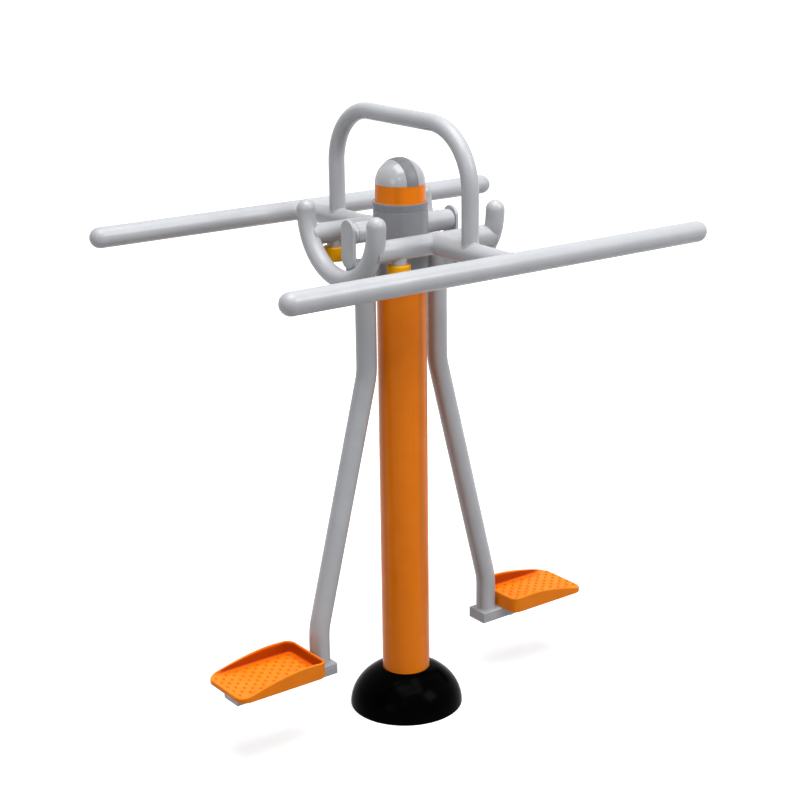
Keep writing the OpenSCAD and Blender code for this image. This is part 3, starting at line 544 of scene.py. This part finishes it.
@dataclass
class FootPlate:
    """A pedal: a moulded plate with a raised, rounded rim on three sides and rows of grip studs. Sizes in mm.

    The rim is a profile carried round the plate's outline. Its height follows the place along the pedal,
    and the floor inside it is one grid between the profile's last points.
    """

    side: Side
    inner_x: float = 279.0
    length: float = 232.0
    width: float = 158.0
    base_z: float = 179.0
    floor_t: float = 11.0
    rim_h: float = 40.5
    rim_t: float = 5.0
    inner_round: float = 22.0
    outer_round: float = 28.0
    crest_share: float = 0.27
    lead_share: float = 0.075
    fall_share: float = 0.78
    fall_power: float = 1.58
    lip_round: float = 4.0
    edge_round: float = 3.0
    inner_lip: float = 2.2
    foot_round: float = 1.5
    lip_ease: float = 12.0
    wall_draft: float = 1.4
    wall_steps: int = 6
    wall_share: Pair = (0.1, 0.9)
    slope_start: float = 0.15
    quarter_steps: int = 9
    foot_steps: int = 5
    fillet: float = 3.5
    arc_steps: int = 24
    stud_pitch: Pair = (14.1, 13.2)
    stud_first_x: float = 302.5
    stud_half: Pair = (3.8, 6.6)
    stud_h: float = 3.0
    stud_slope: float = 0.4
    stud_margin: float = 7.0
    cells: tuple[int, int] = (200, 126)
    # Painted shade: how far the studs, the outer wall, the inner wall's foot and the floor by the rim take
    # the darker colours
    stud_shade: float = 0.58
    outer_shade: float = 0.16
    foot_shade: float = 0.95
    floor_shade: float = 0.5
    shade_reach: float = 28.0
    shade_ramp: Pair = (4.0, 6.0)
    shade_rise: Pair = (10.0, 14.0)

    def outline(self) -> Outline:
        """The plate's outline and its outward normals, split evenly along each side.

        A rectangle's corners become arcs, and each side runs from the middle of one arc to the middle of
        the next, so that the grid inside has its corners there.

        Returns:
            Points and normals, one row for each of the 2 * (nx + ny) places, anticlockwise.
        """
        half = self.width / 2
        far_x = self.inner_x + self.length
        corners = [(self.inner_x, -half, self.inner_round, 180), (far_x, -half, self.outer_round, 270),
                   (far_x, half, self.outer_round, 0), (self.inner_x, half, self.inner_round, 90)]
        halves, even = [], []
        # Each side takes the later half of one corner's arc and the earlier half of the next one's
        for corner, first in ((0, 45), (1, 0), (1, 45), (2, 0), (2, 45), (3, 0), (3, 45), (0, 0)):
            x, y, r, turn = corners[corner]
            angle = np.radians(turn + np.linspace(first, first + 45, self.arc_steps))
            normal = np.stack([np.cos(angle), np.sin(angle)], -1)
            centre = np.array([x + (r if x == self.inner_x else -r), y + (r if y < 0 else -r)])
            halves.append(np.concatenate([centre + r * normal, normal], 1))
        for side, cells in enumerate(self.cells * 2):
            rows = np.concatenate(halves[2 * side:2 * side + 2])
            run = np.concatenate([[0], np.cumsum(np.linalg.norm(np.diff(rows[:, :2], axis=0), axis=1))])
            at = np.linspace(0, run[-1], cells + 1)[:-1]
            even.append(np.stack([np.interp(at, run, column) for column in rows.T], -1))
        points, normals = np.split(np.concatenate(even), 2, axis=1)
        return points, normals / np.linalg.norm(normals, axis=1, keepdims=True)

    def rim_height(self, x: np.ndarray) -> np.ndarray:
        """Height of the rim over the plate's underside: it eases up to a crest and falls to the open end."""
        u = (x - self.inner_x) / self.length
        lead = 1 - self.lead_share * (1 - u / self.crest_share) ** 2
        past = np.maximum(u - self.crest_share, 0) / (1 - self.crest_share)
        fall = 1 - self.fall_share * past ** self.fall_power
        return self.rim_h * np.where(u < self.crest_share, lead, fall)

    def section(self, height: np.ndarray) -> tuple[np.ndarray, np.ndarray]:
        """The rim's profile for each place on the outline, from the underside over the lip to the floor.

        The insets are the same everywhere, and only the heights follow the rim, so the profile flattens
        into the floor where the rim ends and no two points meet.

        Args:
            height: Rim height at each place.

        Returns:
            Insets of the profile's points, and their heights, one row for each place.
        """
        rise = np.maximum(height - self.floor_t, 0)[:, None]
        top = self.floor_t + rise
        lip = self.edge_round + (self.lip_round - self.edge_round) * smooth_step(rise / self.lip_ease)
        quarter = np.radians(np.linspace(0, 90, self.quarter_steps))
        few = quarter[2::2]
        r, crown = self.foot_round, self.rim_t - self.inner_lip
        foot = arc_points((r, r), (r, r), -90, -180, self.foot_steps)
        wall = r + (top - lip - r) * np.linspace(*self.wall_share, self.wall_steps)
        over_z = top - lip + lip * np.sin(quarter)
        in_r = np.minimum(self.inner_lip, rise / 2)
        inner_z = top - in_r + in_r * np.cos(few)
        fillet = np.minimum(self.fillet, rise / 2)
        down = np.linspace(self.slope_start, 1, self.wall_steps)
        slope_z = top - in_r + (fillet - rise + in_r) * down
        fillet_z = self.floor_t + fillet * (1 - np.sin(quarter[1:]))
        insets = np.concatenate([foot[:, 0], np.zeros(self.wall_steps), crown * (1 - np.cos(quarter)),
                                 crown + self.inner_lip * np.sin(few), self.rim_t + self.wall_draft * down,
                                 self.rim_t + self.wall_draft + self.fillet * (1 - np.cos(quarter[1:]))])
        foot_z = np.tile(foot[:, 1], (len(rise), 1))
        return insets, np.concatenate([foot_z, wall, over_z, inner_z, slope_z, fillet_z], 1)

    def stud_relief(self, x: np.ndarray, y: np.ndarray) -> np.ndarray:
        """Height of the grip studs over the floor: a flat-topped oval at every second point of a lattice.

        A stud lies across the pedal. Its measure at a point is the root of the two offsets' squares, each
        over its half axis, and its height falls as a smooth step from six tenths of that measure to one.
        """
        px, py = self.stud_pitch
        rx, ry = self.stud_half
        i, j = np.round((x - self.stud_first_x) / px), np.round(y / py)
        best = np.full(x.shape, np.inf)
        for di in (-1, 0, 1):
            for dj in (-1, 0, 1):
                ci, cj = i + di, j + dj
                cx, cy = self.stud_first_x + ci * px, cj * py
                inside = ((cx > self.inner_x + self.rim_t + self.stud_margin + rx)
                          & (cx < self.inner_x + self.length - self.stud_margin - rx)
                          & (np.abs(cy) < self.width / 2 - self.rim_t - self.stud_margin - ry)
                          & ((ci + cj) % 2 == 0))
                best = np.minimum(best, np.where(inside, np.hypot((x - cx) / rx, (y - cy) / ry), np.inf))
        return self.stud_h * smooth_step((1 - best) / self.stud_slope)

    def shading(self, insets: np.ndarray, heights: np.ndarray, floor: np.ndarray) -> np.ndarray:
        """How much painted shade the colour takes at each point: on the walls, in the corner under the rim,
        and on the studs.

        Inside, it grows below the lip to its most at the wall's foot, and fades over the floor as a smooth
        step of the distance to the wall. Where the rim is low there is no shade.

        Args:
            insets: Insets of the profile's points.
            heights: Their heights, one row for each place on the outline.
            floor: The floor's inner points.

        Returns:
            One number from 0 to 1 for each point, the profile's rings first and the floor after them.
        """
        crest = heights.max(1)[None, :]
        rise = crest - self.floor_t
        down = np.clip((crest - heights.T) / np.maximum(rise, 1), 0, 1)
        inner, outer = self.shade_ramp
        wall = np.where(insets[:, None] > self.rim_t - 1,
                        self.foot_shade * smooth_step(down * inner) * smooth_step(rise / self.shade_rise[0]),
                        self.outer_shade * smooth_step(down * outer))
        slope_end = self.rim_t + self.wall_draft
        past = np.clip((insets[:, None] - slope_end) / self.fillet, 0, 1)
        wall *= 1 - past * (1 - self.floor_shade / self.foot_shade)
        x, y = floor[..., 0], floor[..., 1]
        reach = np.minimum(x - self.inner_x, self.width / 2 - np.abs(y)) - slope_end - self.fillet
        corner = (smooth_step((self.rim_height(x) - self.floor_t) / self.shade_rise[1])
                  * smooth_step(1 - reach / self.shade_reach))
        # The studs take painted shade, for the shade on their sides
        stud = self.stud_relief(x, y) / self.stud_h
        ground = 1 - (1 - self.floor_shade * corner) * (1 - self.stud_shade * stud)
        return np.concatenate([wall.ravel(), ground.ravel()])

    def edges(self, rim: np.ndarray) -> tuple[np.ndarray, ...]:
        """Splits what goes round the outline into its near, end, far and start edges, corners included.

        The far and start edges are turned round, so that they run the same way as the other two.
        """
        nx, ny = self.cells
        rim = np.concatenate([rim, rim[:1]])
        return rim[:nx + 1], rim[nx:nx + ny + 1], rim[nx + ny:2 * nx + ny + 1][::-1], rim[2 * nx + ny:][::-1]

    def build(self, shop: FinishShop) -> bpy.types.Object:
        """Builds the pedal in place of its CAD node."""
        edge, normal = self.outline()
        insets, heights = self.section(self.rim_height(edge[:, 0]))
        rows, cols = len(edge), len(insets)
        ring = np.empty((cols, rows, 3))
        ring[..., :2] = edge[None] - insets[:, None, None] * normal[None]
        ring[..., 2] = heights.T
        nx, ny = self.cells
        near, end, far, start = self.edges(ring[-1])
        u, v = np.linspace(0, 1, nx + 1)[:, None, None], np.linspace(0, 1, ny + 1)[None, :, None]
        # Each point of the floor blends the four edges, less the corners that they count twice
        floor = ((1 - v) * near[:, None] + v * far[:, None] + (1 - u) * start[None] + u * end[None]
                 - (1 - u) * (1 - v) * near[0] - u * (1 - v) * near[-1]
                 - (1 - u) * v * far[0] - u * v * far[-1])
        floor[..., 2] = self.floor_t + self.stud_relief(floor[..., 0], floor[..., 1])
        inner = floor[1:-1, 1:-1]
        # The floor's border is the profile's last ring, so its quads use those points
        number = np.empty((nx + 1, ny + 1), int)
        number[1:-1, 1:-1] = cols * rows + np.arange((nx - 1) * (ny - 1)).reshape(nx - 1, ny - 1)
        last = (cols - 1) * rows + np.arange(rows)
        number[:, 0], number[-1, :], number[:, -1], number[0, :] = self.edges(last)
        corners = (number[:-1, :-1], number[1:, :-1], number[1:, 1:], number[:-1, 1:])
        floor_faces = np.stack(corners, -1).reshape(-1, 4)
        points = np.concatenate([ring.reshape(-1, 3), inner.reshape(-1, 3)])
        points[:, 2] += self.base_z
        faces = [*grid_faces(cols, rows, wrap_cols=True), *floor_faces, np.arange(rows)[::-1]]
        return MeshDraft().add(points, faces, self.side).make(
            f"foot_plate_{self.side.word}", self.side.body, Coat.PEDAL_ORANGE, shop,
            replaces=[f"pedal_{self.side.word}"], shade=self.shading(insets, heights, inner))


@dataclass
class WeldShop:
    """The fillet welds of the tube frame. Sizes in mm.

    Where one tube meets another squarely, the seam is the curve where the two cylinders cross: at each
    angle round the branch, the distance to the main tube's axis is the root of its radius squared less
    the branch's sideways offset squared. A bead is a round worm along that curve with a fine ripple.
    """

    bead_r: float = 1.7
    ripple_mm: float = 3.2
    ripple_share: float = 0.09
    around: int = 12
    seam_steps: int = 160
    ring_steps: int = 120
    seam_lift: float = 3.0
    foot_lift: float = 0.8
    frame_z: float = 1165.0
    rail_y: float = 123.94
    bar_y: float = 392.5
    tube_r: float = 24.0
    hub_r: float = 62.0
    loop_y: float = 252.0
    loop_r: float = 19.0
    arm_w: float = 60.0
    arm_z: Pair = (1143.0, 1163.0)
    arm_round: float = 2.0
    grip_x: float = 164.0
    grip_inset: float = 1.0
    foot_x: float = 250.0
    bar_top_z: float = 179.0

    def seam(self, branch_r: float, main_r: float, centre: Sequence[float], branch: Sequence[float],
             main: Sequence[float]) -> np.ndarray:
        """The crossing curve of a branch tube and a main tube that meet squarely.

        Args:
            branch_r: Radius of the branch.
            main_r: Radius of the main tube.
            centre: The point on the main tube's axis where the branch aims.
            branch: Unit direction from the main tube along the branch.
            main: Unit direction of the main tube.

        Returns:
            Points of the closed curve.
        """
        angle = np.linspace(0, 2 * np.pi, self.seam_steps, endpoint=False)[:, None]
        out, way = np.asarray(branch, float), np.asarray(main, float)
        offset = branch_r * np.sin(angle)
        # The lift keeps the seam of two equal tubes off the main tube's axis
        reach = np.sqrt(np.maximum(main_r ** 2 - offset ** 2, 0) + self.seam_lift)
        along = branch_r * np.cos(angle) * way + offset * np.cross(out, way)
        return np.asarray(centre, float) + reach * out + along

    def bead(self, curve: np.ndarray) -> Surface:
        """A rippled worm along a closed curve: circles square to it, whose radius swells and shrinks."""
        ahead = np.roll(curve, -1, 0) - np.roll(curve, 1, 0)
        ahead /= np.linalg.norm(ahead, axis=1, keepdims=True)
        out = curve - curve.mean(0)
        out -= (out * ahead).sum(1, keepdims=True) * ahead
        out /= np.linalg.norm(out, axis=1, keepdims=True)
        up = np.cross(ahead, out)
        run = np.cumsum(np.linalg.norm(np.diff(curve, axis=0, prepend=curve[-1:]), axis=1))
        waves = max(round(run[-1] / self.ripple_mm), 1)
        radius = self.bead_r * (1 + self.ripple_share * np.sin(2 * np.pi * waves * run / run[-1]))
        angle = np.linspace(0, 2 * np.pi, self.around, endpoint=False)
        circle = np.cos(angle)[None, :, None] * out[:, None] + np.sin(angle)[None, :, None] * up[:, None]
        points = curve[:, None] + radius[:, None, None] * circle
        return points.reshape(-1, 3), grid_faces(len(curve), self.around, wrap_rows=True, wrap_cols=True)

    def frame_seams(self) -> list[np.ndarray]:
        """Every seam of the handrail frame."""
        seams = []
        z, r = self.frame_z, self.tube_r
        for end in (-1, 1):
            rail = end * self.rail_y
            seams += [self.hub_seam(end),
                      self.seam(r, r, (0, rail, z), (0, end, 0), (1, 0, 0)),
                      self.seam(r, r, (0, end * self.bar_y, z), (0, -end, 0), (1, 0, 0)),
                      self.seam(self.loop_r, r, (0, end * self.loop_y, z), (0, 0, 1), (0, 1, 0))]
            seams += [self.ring((side * (self.grip_x - self.bead_r / 2), rail, z), r - self.grip_inset, 0)
                      for side in (-1, 1)]
        return seams

    def hub_seam(self, end: int) -> np.ndarray:
        """The seam of the near (-1) or far (1) flat hub arm: a rounded rectangle wrapped onto the sleeve.

        Each of its points lies where the sleeve's surface is at its own X.
        """
        xz, _ = rounded_rectangle(self.arm_w / 2, self.arm_z, self.arm_round, steps=6, gap=1.0)
        return np.stack([xz[:, 0], end * np.sqrt(self.hub_r ** 2 - xz[:, 0] ** 2), xz[:, 1]], -1)

    def ring(self, centre: Sequence[float], radius: float, axis: int) -> np.ndarray:
        """A plain round seam about an axis, for a tube that ends on a flat or across its own end."""
        angle = np.linspace(0, 2 * np.pi, self.ring_steps, endpoint=False)
        curve = np.tile(np.asarray(centre, float), (self.ring_steps, 1))
        curve[:, (axis + 1) % 3] += radius * np.cos(angle)
        curve[:, (axis + 2) % 3] += radius * np.sin(angle)
        return curve

    def build(self, shop: FinishShop) -> None:
        """Builds the stand's beads as one piece and one bead at the foot of each leg."""
        draft = MeshDraft()
        for curve in self.frame_seams():
            draft.add(*self.bead(curve))
        draft.make("frame_welds", Body.STAND, Coat.SILVER, shop)
        for side in Side:
            foot = (side.value * self.foot_x, 0, self.bar_top_z + self.foot_lift)
            MeshDraft().add(*self.bead(self.ring(foot, self.tube_r, 2))).make(
                f"foot_weld_{side.word}", side.body, Coat.SILVER, shop)


@dataclass
class LegHardware:
    """One leg's hanger plate and pedal bar, with broken edges and the bar's rolled line. Sizes in mm."""

    side: Side
    axle_z: float = 1184.5
    plate_x: float = 139.5
    plate_t: float = 8.0
    plate_w: float = 48.0
    plate_rise: float = 31.5
    plate_drop: float = 78.5
    plate_edge: float = 1.2
    bar_x: float = 221.0
    bar_end_x: float = 493.0
    bar_z: float = 151.0
    bar_w: float = 60.0
    bar_h: float = 28.0
    bar_round: float = 4.0
    line_drop: float = 8.0
    line_w: float = 1.6
    line_depth: float = 0.7
    line_reach: float = 0.5
    plug_t: float = 2.0

    def _carry(self, name: str, outline: Outline, edge: Sequence[Pair], span: Pair, nodes: Sequence[str],
               shop: FinishShop) -> bpy.types.Object:
        """Carries an outline along X. Both ends take the same rings of inset and distance from the end."""
        start, end = span
        profile = [(i, start + d) for i, d in edge] + [(i, end - d) for i, d in edge[::-1]]
        word = self.side.word
        return MeshDraft().add(*outline_solid(outline, profile, (1, 2, 0)), self.side).make(
            f"{name}_{word}", self.side.body, Coat.SILVER, shop,
            replaces=[f"{node}_{word}" for node in nodes])

    def plate(self, shop: FinishShop) -> bpy.types.Object:
        """The round-ended plate: a stadium whose edges are ground round."""
        r, e = self.plate_w / 2, self.plate_edge
        ends = self.axle_z - self.plate_drop, self.axle_z + self.plate_rise
        outline = rounded_rectangle(r, ends, r, steps=16)
        edge = arc_points((e, e), (e, e), 270, 180, 5)
        return self._carry("hanger", outline, edge, (self.plate_x, self.plate_x + self.plate_t),
                           ["hanger_plate"], shop)

    def bar_outline(self) -> Outline:
        """The bar's section with a shallow rolled line along each side.

        The line is a dent in the outline: its depth times a cosine bell of the distance to the line.
        """
        w, top = self.bar_w / 2, self.bar_z + self.bar_h
        points, normals = rounded_rectangle(w, (self.bar_z, top), self.bar_round, steps=8, gap=0.5)
        away = np.clip(np.abs(points[:, 1] - (top - self.line_drop)) / self.line_w, 0, 1)
        bell = 0.5 + 0.5 * np.cos(np.pi * away)
        dent = np.where(np.abs(points[:, 0]) > w - self.line_reach, bell, 0) * self.line_depth
        return points - dent[:, None] * normals, normals

    def bar(self, shop: FinishShop) -> bpy.types.Object:
        """The pedal bar with its end plugs: the section carried along X, with a joint before each plug."""
        t = self.plug_t
        # Inset and distance from the end: the plug's round edge, its side and the fine joint behind it
        edge = [(2.2, 0), (1.0, 0.15), (0.3, 0.5), (0, 1.1),
                (0, t - 0.3), (0.5, t - 0.1), (0.5, t + 0.1), (0, t + 0.3)]
        return self._carry("foot_bar", self.bar_outline(), edge, (self.bar_x, self.bar_end_x),
                           ["pedal_bar", "pedal_bar_plugs"], shop)

    def build(self, shop: FinishShop) -> None:
        """Builds both pieces."""
        self.plate(shop)
        self.bar(shop)


@dataclass
class SwingStops:
    """The four rubber stops, turned from one profile: soft lower edge, slight belly, recess for the screw."""

    x: float = 97.0
    y: float = 123.94
    top_z: float = 1131.0
    height: float = 33.0
    radius: float = 26.0
    belly: float = 0.6
    soft: float = 6.0
    crisp: float = 1.5
    recess_r: float = 10.0
    recess_depth: float = 12.0
    chamfer: Pair = (0.8, 1.0)
    bore_r: float = 4.3

    def profile(self) -> np.ndarray:
        """Radius and height round the rubber's wall, closed: up the outside, over the top, down the bore."""
        h, r = self.height, self.radius
        low = arc_points((r - self.soft, self.soft), (self.soft, self.soft), -90, 0, 8)
        rise = np.linspace(0, 1, 8)[1:-1]
        wall = np.stack([r + self.belly * np.sin(np.pi * rise),
                         self.soft + (h - self.soft - self.crisp) * rise], -1)
        top = arc_points((r - self.crisp, h - self.crisp), (self.crisp, self.crisp), 0, 90, 5)
        out, up = self.chamfer
        bore = [(self.bore_r, h), (self.bore_r, self.recess_depth), (self.recess_r, self.recess_depth),
                (self.recess_r, up), (self.recess_r + out, 0.0)]
        return np.concatenate([low, wall, top, np.array(bore)])

    def build(self, shop: FinishShop) -> bpy.types.Object:
        """Builds the four stops as one piece."""
        draft = MeshDraft()
        for side in (-1, 1):
            for end in (-1, 1):
                draft.add(*lathe(self.profile(), (side * self.x, end * self.y, self.top_z - self.height)))
        return draft.make("rubber_stops", Body.STAND, Coat.RUBBER, shop, replaces=["bumpers"])


@dataclass
class FootCover:
    """The black cover over the foot: a turned quarter ellipse with rolled edges at both ends. Sizes in mm."""

    foot_r: float = 136.5
    rise: float = 108.0
    hole_r: float = 58.3
    wall: float = 3.0
    edge: float = 1.4
    roll_share: float = 0.6
    steps: int = 56
    around: int = 180

    def curve(self, half_width: float, height: float, start_z: float) -> np.ndarray:
        """Radius and height along the ellipse, from a start height up to the column's hole.

        A point's radius is the half width times the cosine of its angle, and its height the full height
        times the sine, so the curve stands upright on the ground and leans in towards the column.
        """
        angle = np.linspace(math.asin(start_z / height), math.acos(self.hole_r / half_width), self.steps)
        return np.stack([half_width * np.cos(angle), height * np.sin(angle)], -1)

    def profile(self) -> np.ndarray:
        """The wall's closed section: up the outside, over the rolled top, down the inside, round the foot."""
        e = self.edge
        outer = self.curve(self.foot_r, self.rise, e)
        inner = self.curve(self.foot_r - self.wall, self.rise - self.wall, e)[::-1]
        foot_out = arc_points((outer[0, 0] - e, e), (e, e), -90, 0, 6)[:-1]
        foot_in = arc_points((inner[-1, 0] + e, e), (e, e), 180, 270, 6)[1:]
        middle, half = (outer[-1] + inner[0]) / 2, (outer[-1, 1] - inner[0, 1]) / 2
        top = arc_points(middle, (-half * self.roll_share, half), 90, -90, 8)[1:-1]
        return np.concatenate([foot_out, outer, top, inner, foot_in])

    def build(self, shop: FinishShop) -> bpy.types.Object:
        """Builds the cover in place of its CAD node."""
        return MeshDraft().add(*lathe(self.profile(), (0, 0, 0), self.around)).make(
            "foot_cover", Body.STAND, Coat.BLACK, shop, replaces=["base_cap"])


@dataclass(frozen=True)
class Lamp:
    """A square soft box: where it hangs, its side in metres and its power in watts."""

    name: str
    place: Triple
    size: float
    power: float


@dataclass(frozen=True)
class Studio:
    """The photograph's camera, a pale floor and plain soft light."""

    camera_at: Triple = (-2.250, -3.078, 1.954)
    pitch_deg: float = 17.404
    yaw_deg: float = 38.568
    lens_mm: float = 77.02
    sensor_mm: float = 36.0
    shift: Pair = (-0.0893, 0.0069)
    lamps: tuple[Lamp, ...] = (Lamp("overhead", (-0.2, -0.9, 6.3), 4.4, 370.0),
                               Lamp("key", (2.4, -4.1, 4.4), 2.2, 130.0),
                               Lamp("fill", (-4.6, -1.6, 2.2), 1.6, 22.0),
                               Lamp("spark", (-2.8, -3.4, 3.6), 0.45, 9.0))
    lamps_aim: Triple = (0.0, 0.0, 0.75)
    sky_light: float = 0.22
    floor_size: float = 60.0
    floor_seen: str = "#E9E9EA"
    floor_thrown: str = "#7C7C7E"
    glow_reach: Pair = (0.8, 4.0)
    glow_near: float = 0.55

    def build(self) -> None:
        """Sets up the camera, the lamps, the world and the floor."""
        self._camera()
        self._lamps()
        self._world()
        self._floor()
        bpy.context.scene.view_settings.view_transform = "Standard"

    def _camera(self) -> None:
        """Places the camera that was fitted to the photograph's straight edges."""
        data = bpy.data.cameras.new("photo_camera")
        data.lens, data.sensor_width, data.sensor_fit = self.lens_mm, self.sensor_mm, "HORIZONTAL"
        data.shift_x, data.shift_y = self.shift
        camera = new_object("photo_camera", data)
        camera.location = self.camera_at
        camera.rotation_euler = (math.radians(90 - self.pitch_deg), 0.0, -math.radians(self.yaw_deg))
        bpy.context.scene.camera = camera

    def _lamps(self) -> None:
        """Hangs the soft boxes, all turned towards one point."""
        for lamp in self.lamps:
            data = bpy.data.lights.new(lamp.name, "AREA")
            data.shape, data.size, data.energy = "SQUARE", lamp.size, lamp.power
            box = new_object(lamp.name, data)
            box.location = lamp.place
            x, y, z = np.array(self.lamps_aim) - np.array(lamp.place)
            box.rotation_euler = (math.atan2(math.hypot(x, y), -z), 0.0, math.atan2(x, -y) + math.pi)

    @staticmethod
    def _ray_switch(tree: Tree) -> Socket:
        """One for camera, glossy and transmission rays, which see the white background, else nought."""
        path = add_node(tree, "ShaderNodeLightPath")
        seen = path.outputs["Is Camera Ray"]
        for ray in ("Is Glossy Ray", "Is Transmission Ray"):
            seen = add_node(tree, "ShaderNodeMath", {".operation": "MAXIMUM"},
                            {0: seen, 1: path.outputs[ray]}).outputs[0]
        return seen

    def _world(self) -> None:
        """A white surround to the eye and to gloss, which lights the object only softly."""
        world = bpy.data.worlds.new("surround")
        tree = empty_tree(world)
        strength = ramp(tree, self._ray_switch(tree), result=(self.sky_light, 1.0))
        light = add_node(tree, "ShaderNodeBackground", {"Color": WHITE}, {"Strength": strength})
        add_node(tree, "ShaderNodeOutputWorld", links={"Surface": light})
        bpy.context.scene.world = world

    def _floor(self) -> None:
        """A wide pale floor that keeps the object's shadow and is near white to the eye."""
        half = self.floor_size / 2
        mesh = bpy.data.meshes.new("studio_floor")
        corners = [(-half, -half, 0), (half, -half, 0), (half, half, 0), (-half, half, 0)]
        mesh.from_pydata(corners, [], [(0, 1, 2, 3)])
        material = bpy.data.materials.new("studio_floor")
        tree = empty_tree(material)
        seen = self._ray_switch(tree)
        matte = add_node(tree, "ShaderNodeBsdfDiffuse", {"Color": linear_colour(self.floor_seen)})
        # The floor throws back on the object what a duller grey would, so that undersides stay dark
        dull = add_node(tree, "ShaderNodeBsdfDiffuse", {"Color": linear_colour(self.floor_thrown)})
        # The lamps fade with distance, so the floor's own white takes over away from the object
        place = add_node(tree, "ShaderNodeTexCoord").outputs["Object"]
        far = add_node(tree, "ShaderNodeVectorMath", {".operation": "LENGTH"}, {0: place}).outputs["Value"]
        white = ramp(tree, far, self.glow_reach, (self.glow_near, 1.0))
        glow = add_node(tree, "ShaderNodeEmission", {"Color": WHITE}, {"Strength": white})
        lit = add_node(tree, "ShaderNodeAddShader", links={0: matte, 1: glow})
        mixed = add_node(tree, "ShaderNodeMixShader", links={0: seen, 1: dull, 2: lit})
        add_node(tree, "ShaderNodeOutputMaterial", links={"Surface": mixed})
        mesh.materials.append(material)
        new_object("studio_floor", mesh)


def main() -> None:
    """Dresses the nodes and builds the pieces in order."""
    logging.basicConfig(level=logging.INFO, format="%(name)s %(message)s")
    Studio().build()
    shop = FinishShop()
    shop.dress_nodes()
    SwingStops().build(shop)
    FootCover().build(shop)
    WeldShop().build(shop)
    for side in Side:
        LegHardware(side).build(shop)
        FootPlate(side).build(shop)
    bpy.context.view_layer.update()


if __name__ == "__main__":
    main()
